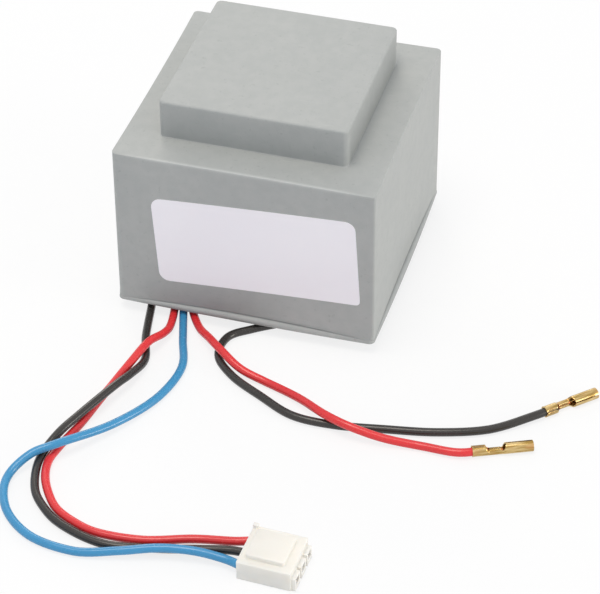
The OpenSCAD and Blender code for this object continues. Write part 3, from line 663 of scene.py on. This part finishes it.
# %% Soft PVC
def soft_pvc(name, dark, light):
    material, tree, shader, place = new_material(name)
    cloud = add(tree, "ShaderNodeTexNoise", {"Vector": place, "Scale": per_mm(7), "Detail": 4.0})
    tone = add(tree, "ShaderNodeMix", {"Factor": cloud, "A": linear(dark), "B": linear(light)},
               data_type="RGBA")
    skin = add(tree, "ShaderNodeTexNoise", {"Vector": place, "Scale": per_mm(0.8), "Detail": 3.0})
    gloss = add(tree, "ShaderNodeMapRange", {"Value": skin, "To Min": 0.2, "To Max": 0.32})
    relief = add(tree, "ShaderNodeBump", {"Height": skin, "Strength": 0.15, "Distance": 0.03 * MM})
    plug(tree, shader, {"Base Color": tone, "Roughness": gloss, "IOR": 1.52, "Normal": relief})
    return material


pvc = {"black": soft_pvc("soft_pvc_black", "#242220", "#383431"),
       "red": soft_pvc("soft_pvc_red", "#DA272E", "#EA3B3C"),
       "blue": soft_pvc("soft_pvc_blue", "#3088B8", "#459ACB")}
print("leads:", [skin.name for skin in pvc.values()])

# %% [markdown]
# ## The connector
# Its CAD shape is right but knife-sharp. A copy of the mesh is merged, its flat triangles are dissolved
# into whole faces, and a bevel rounds the edges as moulding does. Edge weights say how much: most at the
# corners of the lock plate, less along the body, and hardly at the toothed end, where walls are thin.

# %% Softened connector
SHARP = math.radians(40)
CONNECTOR_AT, CONNECTOR_TURN = (23.2, -106.2), -2.5
CONNECTOR_AHEAD = Matrix.Rotation(math.radians(CONNECTOR_TURN), 3, "Z") @ Vector((1.0, 0.0, 0.0))
CONNECTOR_ACROSS = Vector((0.0, 0.0, 1.0)).cross(CONNECTOR_AHEAD)
CONNECTOR_W, CONNECTOR_H, CONNECTOR_FRONT, PLATE_INSET = 12.0, 5.1, 11.5, 1.7
PLATE_SIDE = CONNECTOR_W / 2 - PLATE_INSET
ROUND_MM, ROUND_STEPS = 1.0, 4
PLATE_CORNER, LONG_EDGE, SHORT_EDGE = 1.0, 0.45, 0.08
LONG_MM, NEAR_MM, MERGE_MM = 2.5, 0.05, 0.002
UPRIGHT, FLAT = 0.9, math.radians(1)


def edge_rise(edge):
    return (edge.verts[1].co - edge.verts[0].co).normalized().z


def rounding(edge):
    """Share of the full bevel that an edge of the connector gets."""
    there = (edge.verts[0].co + edge.verts[1].co) / 2 - Vector((*CONNECTOR_AT, 0.0)) * MM
    ahead, across = there.dot(CONNECTOR_AHEAD) / MM, there.dot(CONNECTOR_ACROSS) / MM
    if ahead > CONNECTOR_FRONT:
        return SHORT_EDGE
    at_plate_side = there.z > CONNECTOR_H * MM and abs(abs(across) - PLATE_SIDE) < NEAR_MM
    if at_plate_side and abs(edge_rise(edge)) > UPRIGHT:
        return PLATE_CORNER
    return LONG_EDGE if edge.calc_length() > LONG_MM * MM else SHORT_EDGE


def soft_connector():
    bm = bmesh.new()
    bm.from_mesh(solids["connector_housing"].data)
    bmesh.ops.remove_doubles(bm, verts=bm.verts, dist=MERGE_MM * MM)
    bmesh.ops.dissolve_limit(bm, angle_limit=FLAT, verts=bm.verts, edges=bm.edges)
    share = bm.edges.layers.float.new("bevel_weight_edge")
    for edge in bm.edges:
        if edge.calc_face_angle(0.0) > SHARP:
            edge[share] = rounding(edge)
    mesh = bpy.data.meshes.new("nylon_connector")
    bm.to_mesh(mesh)
    bm.free()
    mesh.materials.clear()
    mesh.materials.append(nylon)
    obj = keep(bpy.data.objects.new("nylon_connector", mesh))
    soft = obj.modifiers.new("soft_edges", "BEVEL")
    soft.width, soft.segments = ROUND_MM * MM, ROUND_STEPS
    soft.limit_method = "WEIGHT"
    settle(obj)
    for face in obj.data.polygons:
        face.use_smooth = True
    obj.data.set_sharp_from_angle(angle=SHARP)
    return dress(obj, "connector_housing")


connector = soft_connector()
print("connector:", len(connector.data.polygons), "faces")

# %% [markdown]
# ## The crimp sockets
# A crimp socket is stamped from one brass strip and rolled. Wide wings grip the insulation, narrow ones
# the bare strands, and the front is a tube with a slit. Instead of cutting tubes, the strip itself is
# lofted: one C-shaped section whose radius, height and opening change along the socket. Where wings are
# rolled in, the strip's edges bite inwards, and an attribute marks these creases for painted shade.

# %% Sections of the rolled strip
SOCKET_R, STRIP_T, CRIMP_DROP = 1.35, 0.28, 0.45
SOCKET_AT = {"red": (62.9, -60.1), "black": (76.0, -42.4)}
SOCKET_ROLL = {"red": -15, "black": 68}
SECTION_STEPS, STATION_STEPS = 44, 4
CURL, FULL_BITE = math.radians(40), 0.2
# Along the socket: distance, outer radius, drop of the middle, half the opening in degrees, bite
STRIP = ((0.0, 1.35, 0.0, 10, 0.0), (0.3, 1.31, 0.0, 6, 0.1), (0.6, 1.3, 0.0, 4, 0.22),
         (2.6, 1.3, 0.0, 4, 0.22), (2.9, 1.3, 0.0, 7, 0.12), (3.15, 1.28, 0.01, 24, 0.0),
         (3.3, 1.24, 0.06, 48, 0.0), (3.6, 1.06, 0.27, 62, 0.0), (3.85, 0.93, 0.42, 44, 0.0),
         (4.0, 0.9, CRIMP_DROP, 10, 0.1), (4.25, 0.9, CRIMP_DROP, 5, 0.26),
         (6.2, 0.9, CRIMP_DROP, 5, 0.26), (6.5, 0.9, CRIMP_DROP, 12, 0.1),
         (6.65, 0.92, 0.43, 45, 0.0), (6.9, 0.98, 0.37, 74, 0.0),
         (7.3, 1.18, 0.17, 80, 0.0), (7.6, 1.31, 0.04, 58, 0.0), (7.8, 1.35, 0.0, 20, 0.0),
         (7.95, 1.35, 0.0, 5, 0.0), (14.05, 1.35, 0.0, 8, 0.0), (14.2, 1.32, 0.0, 9, 0.0))


def strip_section(x, radius, drop, opening, bite):
    """A closed C: the outer face from one edge of the strip to the other, then the inner face back."""
    half = math.radians(opening)
    faces = ([], [])
    for i in range(SECTION_STEPS + 1):
        a = math.pi + (math.pi - half) * math.sin(math.pi / 2 * (2 * i / SECTION_STEPS - 1))
        to_edge = math.pi - half - abs(a - math.pi)
        curl = max(0.0, 1 - to_edge / CURL) ** 2
        for face, depth in zip(faces, (0.0, STRIP_T)):
            r = radius - bite * curl - depth
            # How much painted shade the crease of a rolled-in edge gets
            crease = 4 * curl * (1 - curl) * min(1.0, bite / FULL_BITE)
            face.append((Vector((x, r * math.sin(a), r * math.cos(a) - drop)), crease))
    return faces[0] + faces[1][::-1]


def strip_sections():
    sections = []
    for here, ahead in zip(STRIP, STRIP[1:]):
        for i in range(STATION_STEPS):
            share = i / STATION_STEPS
            sections.append(strip_section(*(a + (b - a) * share for a, b in zip(here, ahead))))
    return sections + [strip_section(*STRIP[-1])]


print("sections of the strip:", len(strip_sections()))


# %% Rolled sockets
def rolled_socket(colour):
    place = (Matrix.Translation((*SOCKET_AT[colour], 0.0))
             @ Matrix.Rotation(math.radians(SOCKET_TURN[colour]), 4, "Z")
             @ Matrix.Translation((0.0, 0.0, SOCKET_R))
             @ Matrix.Rotation(math.radians(SOCKET_ROLL[colour]), 4, "X"))
    bm = bmesh.new()
    seam = bm.verts.layers.float.new("seam")
    loops = []
    for section in strip_sections():
        loop = []
        for point, dark in section:
            loop.append(bm.verts.new(place @ point * MM))
            loop[-1][seam] = dark
        loops.append(loop)
    count = len(loops[0])
    for rear, front in zip(loops, loops[1:]):
        for i in range(count):
            j = (i + 1) % count
            bm.faces.new((rear[j], rear[i], front[i], front[j]))
    for i in range(SECTION_STEPS):
        j, k = count - 1 - i, count - 2 - i
        bm.faces.new((loops[0][i], loops[0][i + 1], loops[0][k], loops[0][j]))
        bm.faces.new((loops[-1][i + 1], loops[-1][i], loops[-1][j], loops[-1][k]))
    name = "brass_socket_" + colour
    mesh = bpy.data.meshes.new(name)
    bm.to_mesh(mesh)
    bm.free()
    mesh.materials.append(brass[colour])
    for face in mesh.polygons:
        face.use_smooth = True
    mesh.set_sharp_from_angle(angle=SHARP)
    return dress(keep(bpy.data.objects.new(name, mesh)), "socket_" + colour)


sockets = {colour: rolled_socket(colour) for colour in SOCKET_AT}
print("sockets:", [len(socket.data.polygons) for socket in sockets.values()], "faces")

# %% [markdown]
# ## The leads
# Each lead hangs straight out of the resin, bends under the rim and lies on the table, humping over
# the others where they cross. The points follow the CAD route, a little closer together under the rim
# and in the loop. A Bezier spline runs through them with handles worked out for even speed (centripetal
# Catmull-Rom), so it neither kinks nor overshoots, and no handle goes lower than a lead that lies flat.
# A bevel gives the curve its round section.

# %% Routes, in millimetres
LEAD_D, BEND_R, LIE_Z, LEAD_SINK = 2.0, 5.0, 1.0, 0.5
START_Z = RESIN_Z + LEAD_SINK
EXIT_Y = -23.5
BEND_STEPS, ROUND_LEAD_STEPS, KNOT_STEPS = 6, 5, 8
WAY_PITCH, WAY_Z, WAY_IN, WAY_DEPTH = 3.96, 2.2, 0.6, 3.3
BUNCH_IN, BUNCH_SHARE, BUNCH_DIP = 3.4, 0.74, 0.3
SOCKET_DEPTH, LEAD_IN = 3.2, 3.0


def leave(x, heading):
    """Down out of the resin and round the bend, to the height at which a lead lies."""
    h, top = math.radians(heading), LIE_Z + BEND_R
    points = [(x, EXIT_Y, START_Z), (x, EXIT_Y, top)]
    for i in range(1, BEND_STEPS + 1):
        a = math.pi / 2 * i / BEND_STEPS
        d = BEND_R * (1 - math.cos(a))
        points.append((x + d * math.cos(h), EXIT_Y + d * math.sin(h), top - BEND_R * math.sin(a)))
    return points


def arrive(at, turn, points):
    """Points given in the frame of the piece that a lead ends in."""
    c, s = math.cos(math.radians(turn)), math.sin(math.radians(turn))
    return [(at[0] + c * x - s * y, at[1] + s * x + c * y, z) for x, y, z in points]


def into_connector(way):
    """The three leads come bunched and low, and spread to their ways."""
    y = way * WAY_PITCH
    return arrive(CONNECTOR_AT, CONNECTOR_TURN, [(-BUNCH_IN, y * BUNCH_SHARE, WAY_Z - BUNCH_DIP),
                                                 (WAY_IN, y, WAY_Z), (WAY_DEPTH, y, WAY_Z)])


def into_socket(colour):
    return arrive(SOCKET_AT[colour], SOCKET_TURN[colour],
                  [(-LEAD_IN, 0.0, SOCKET_R), (SOCKET_DEPTH, 0.0, SOCKET_R)])


routes = {
    "black_1": leave(-26.3, -72) + [
        (-21.8, -42, 1), (-19.3, -50, 1), (-20.3, -57.5, 2.5), (-21.9, -62.4, 3.2), (-26.5, -74.5, 3.2),
        (-29.4, -82, 2.6), (-31, -89.4, 1.1), (-28.5, -98.9, 1), (-24.8, -103.6, 1), (-19.6, -107.5, 1),
        (-8.1, -111, 1), (3.9, -109.1, 1), (12.9, -107, 1.2)] + into_connector(0),
    "red_1": leave(-20.7, -69) + [
        (-17.4, -36.9, 1.2), (-17.8, -40.6, 2), (-19.6, -45.9, 3.3), (-21.8, -53.7, 2.3), (-24, -62, 1),
        (-26.2, -75.4, 1), (-28.3, -84.5, 1), (-28.9, -89.2, 1), (-27.9, -94, 1), (-25.5, -98.7, 1),
        (-21.7, -103.4, 1), (-16.8, -106.2, 1), (-11, -108, 1), (0, -107.5, 1),
        (11.1, -104.1, 1.1)] + into_connector(1),
    "blue": leave(-17.7, -78) + [
        (-12.9, -40.5, 1), (-10, -50, 1), (-11.8, -61.3, 1), (-18.7, -74.6, 1.9), (-28.3, -86.6, 3.8),
        (-32.7, -90.2, 3), (-35.9, -96.9, 1.1), (-32.7, -106.2, 1), (-24.5, -113, 1), (-13.2, -114.9, 1),
        (-3.6, -112.9, 1.9), (5, -110.4, 2.7), (12.9, -109.1, 2.6)] + into_connector(-1),
    "red_2": leave(-15, -83) + [
        (-10.4, -35.4, 1.4), (-6.3, -39.9, 2.6), (-2.3, -44, 3.4), (4, -48.1, 2.2), (11, -49.8, 1),
        (20, -53.7, 1.6), (27.8, -59.3, 3.3), (34, -61.6, 3.3), (42, -62, 2),
        (51, -61.2, 1)] + into_socket("red"),
    "black_2": leave(16.5, -154) + [
        (1.9, -32.1, 1), (-2.8, -36.4, 1), (-3, -43.5, 1), (2.1, -49.5, 1), (11.1, -54.9, 1),
        (20, -59.3, 1), (29.9, -59.8, 1), (41.7, -58, 1), (53.9, -55.6, 1),
        (65, -51.4, 1)] + into_socket("black"),
}
print("routes:", {lead: len(points) for lead, points in routes.items()}, "points")


# %% Splines
def handles(points):
    """The two handles of each point, for a spline that passes through all of them at an even pace."""
    p = [Vector(v) for v in points]
    p = [2 * p[0] - p[1]] + p + [2 * p[-1] - p[-2]]
    gap = [math.sqrt((b - a).length) for a, b in zip(p, p[1:])]
    made = []
    for i in range(1, len(p) - 1):
        before, after = gap[i - 1], gap[i]
        pace = ((p[i] - p[i - 1]) / before - (p[i + 1] - p[i - 1]) / (before + after)
                + (p[i + 1] - p[i]) / after)
        pair = [p[i] - pace * before / 3, p[i] + pace * after / 3]
        for handle in pair:
            handle.z = max(handle.z, LIE_Z)
        made.append(pair)
    return made


def lay_lead(name, points, material):
    curve = bpy.data.curves.new(name, "CURVE")
    curve.dimensions = "3D"
    curve.bevel_depth, curve.bevel_resolution = LEAD_D / 2 * MM, ROUND_LEAD_STEPS
    curve.resolution_u = KNOT_STEPS
    curve.use_fill_caps = True
    spline = curve.splines.new("BEZIER")
    spline.bezier_points.add(len(points) - 1)
    for knot, at, (left, right) in zip(spline.bezier_points, points, handles(points)):
        knot.handle_left_type = knot.handle_right_type = "FREE"
        knot.co = Vector(at) * MM
        knot.handle_left, knot.handle_right = left * MM, right * MM
    curve.materials.append(material)
    return keep(bpy.data.objects.new(name, curve))


LEADS = {"black_1": ("black", 0.142, "connector"), "red_1": ("red", 0.138, "connector"),
         "blue": ("blue", 0.160, "connector"), "red_2": ("red", 0.102, "fitting"),
         "black_2": ("black", 0.126, "fitting")}
for lead, (colour, length, end) in LEADS.items():
    cord = dress(lay_lead("cord_" + lead, routes[lead], pvc[colour]), "lead_" + lead)
    print(cord.name, length, "m, to the", end)

# %% [markdown]
# ## What the resin hides
# Core, coil and joints are sealed in, so their CAD shapes stay, but each still gets the finish of its
# real material: the edges of stacked steel sheets, rows of enamelled wire, film tape, tin and resin.


# %% Finishes of the sealed parts
ROUGH_SPREAD = 0.08


def sealed_finish(name, dark, light, size_mm, stretch, rough, metallic=0.0):
    material, tree, shader, place = new_material(name)
    shaped = add(tree, "ShaderNodeMapping", {"Vector": place, "Scale": stretch})
    pattern = add(tree, "ShaderNodeTexNoise", {"Vector": shaped, "Scale": per_mm(size_mm), "Detail": 4.0})
    tone = add(tree, "ShaderNodeMix", {"Factor": pattern, "A": linear(dark), "B": linear(light)},
               data_type="RGBA")
    gloss = add(tree, "ShaderNodeMapRange", {"Value": pattern, "To Min": rough - ROUGH_SPREAD,
                                            "To Max": rough + ROUGH_SPREAD})
    relief = add(tree, "ShaderNodeBump", {"Height": pattern, "Strength": 0.4, "Distance": 0.03 * MM})
    plug(tree, shader, {"Base Color": tone, "Metallic": metallic, "Roughness": gloss, "Normal": relief})
    return material


EVEN = (1.0, 1.0, 1.0)
SHEETS = (0.05, 0.05, 1.0)
TURNS = (0.05, 1.0, 0.05)
# Name, darker and lighter tone, size of the pattern in millimetres, its stretch, roughness, metal
SEALED = {
    "potting": ("poured_polyurethane_resin", "#333435", "#434445", 5, EVEN, 0.36),
    "lamination_steel": ("stacked_silicon_steel", "#5E6266", "#84888C", 0.5, SHEETS, 0.42, 1.0),
    "bobbin_nylon": ("moulded_bobbin_nylon", "#DDD8C8", "#EAE6DA", 2, EVEN, 0.5),
    "enamelled_copper": ("enamelled_copper_wire", "#8F451C", "#C8743A", 0.3, TURNS, 0.32, 1.0),
    "winding_tape": ("polyester_film_tape", "#D8B93C", "#EBD05C", 3, EVEN, 0.25),
    "tinned_metal": ("tinned_brass", "#B9BCC0", "#D6D8DA", 0.6, EVEN, 0.3, 1.0),
    "solder": ("solidified_solder", "#A9ADB1", "#C9CCCF", 0.4, EVEN, 0.34, 1.0),
    "copper_strands": ("bunched_copper_strands", "#A65A30", "#D88E5C", 0.25, EVEN, 0.34, 1.0),
}
finishes = {slot: sealed_finish(*look) for slot, look in SEALED.items()}
finishes.update(white_nylon=nylon, grey_case=case_plastic)
for part in frame["record"]["subparts"]:
    finish = finishes.get(part["material_slot"])
    if finish and not solids[part["node"]].hide_render:
        mesh = solids[part["node"]].data
        mesh.materials.clear()
        mesh.materials.append(finish)
print("finished:", sorted(finishes))

# %% [markdown]
# ## Table and light
# The object stands on a pale table in a plain soft studio. Cameras see the table and the backdrop as
# near white, but what lights the object stays moderate, so that a colour renders about as it is
# written. A broad warm lamp hangs overhead, a little to the front, one stands behind on the left and a
# low one on the right. The room fills the rest with cooler light, so the front is the darkest side.


# %% Pale table
TABLE_SHINE = 0.8


def seen_directly(tree):
    """One for the camera's rays, mirrored ones and those through glass, and nought for light shed."""
    path = add(tree, "ShaderNodeLightPath").outputs
    seen = add(tree, "ShaderNodeMath", {0: path["Is Camera Ray"], 1: path["Is Glossy Ray"]},
               operation="MAXIMUM")
    return add(tree, "ShaderNodeMath", {0: seen, 1: path["Is Transmission Ray"]}, operation="MAXIMUM")


def pale_table():
    material, tree, shader, _ = new_material("pale_table")
    plug(tree, shader, {"Base Color": linear("#F4F4F3"), "Roughness": 0.9, "Specular IOR Level": 0.1})
    share = add(tree, "ShaderNodeMath", {0: seen_directly(tree), 1: TABLE_SHINE}, operation="MULTIPLY")
    white = add(tree, "ShaderNodeEmission", {"Color": linear("#FFFFFF"), "Strength": 1.0})
    both = add(tree, "ShaderNodeMixShader", {0: share, 1: shader, 2: white})
    plug(tree, tree.nodes["Material Output"], {"Surface": both})
    return material


TABLE_HALF, TABLE_Z = 3.0, -0.05 * MM
table_mesh = bpy.data.meshes.new("table")
table_mesh.from_pydata([(x * TABLE_HALF, y * TABLE_HALF, TABLE_Z)
                        for x, y in ((-1, -1), (1, -1), (1, 1), (-1, 1))], [], [(0, 1, 2, 3)])
table_mesh.materials.append(pale_table())
table = keep(bpy.data.objects.new("table", table_mesh))
print("table:", 2 * TABLE_HALF, "m wide")

# %% White room and lamps
ROOM_STRENGTH = 0.66
world = bpy.data.worlds.new("white_room")
world.use_nodes = True
bpy.context.scene.world = world
room = world.node_tree
seen = seen_directly(room)
level = add(room, "ShaderNodeMapRange", {"Value": seen, "To Min": ROOM_STRENGTH, "To Max": 1.0})
tint = add(room, "ShaderNodeMix", {"Factor": seen, "A": linear("#EFF4FF"), "B": linear("#FFFFFF")},
           data_type="RGBA")
plug(room, room.nodes["Background"], {"Color": tint, "Strength": level})

# Place and size in metres, power in watts
LAMPS = {"ceiling_lamp": ((-0.1, -0.15, 1.08), 0.5, 5.0), "back_lamp": ((-0.45, 0.8, 0.5), 0.4, 1.75),
         "side_lamp": ((1.0, -0.1, 0.2), 0.3, 3.05)}
LAMP_COLOUR = linear("#FFF8EC")[:3]
AIM = Vector((0.0, 0.0, 0.025))
for name, (at, size, power) in LAMPS.items():
    lamp_data = bpy.data.lights.new(name, "AREA")
    lamp_data.shape, lamp_data.size, lamp_data.energy = "SQUARE", size, power
    lamp_data.color = LAMP_COLOUR
    lamp = keep(bpy.data.objects.new(name, lamp_data))
    lamp.location = at
    lamp.rotation_euler = (AIM - Vector(at)).to_track_quat("-Z", "Y").to_euler()
print("lamps:", sorted(LAMPS))

# %% View transform
bpy.context.scene.view_settings.view_transform = "Standard"
bpy.context.view_layer.update()
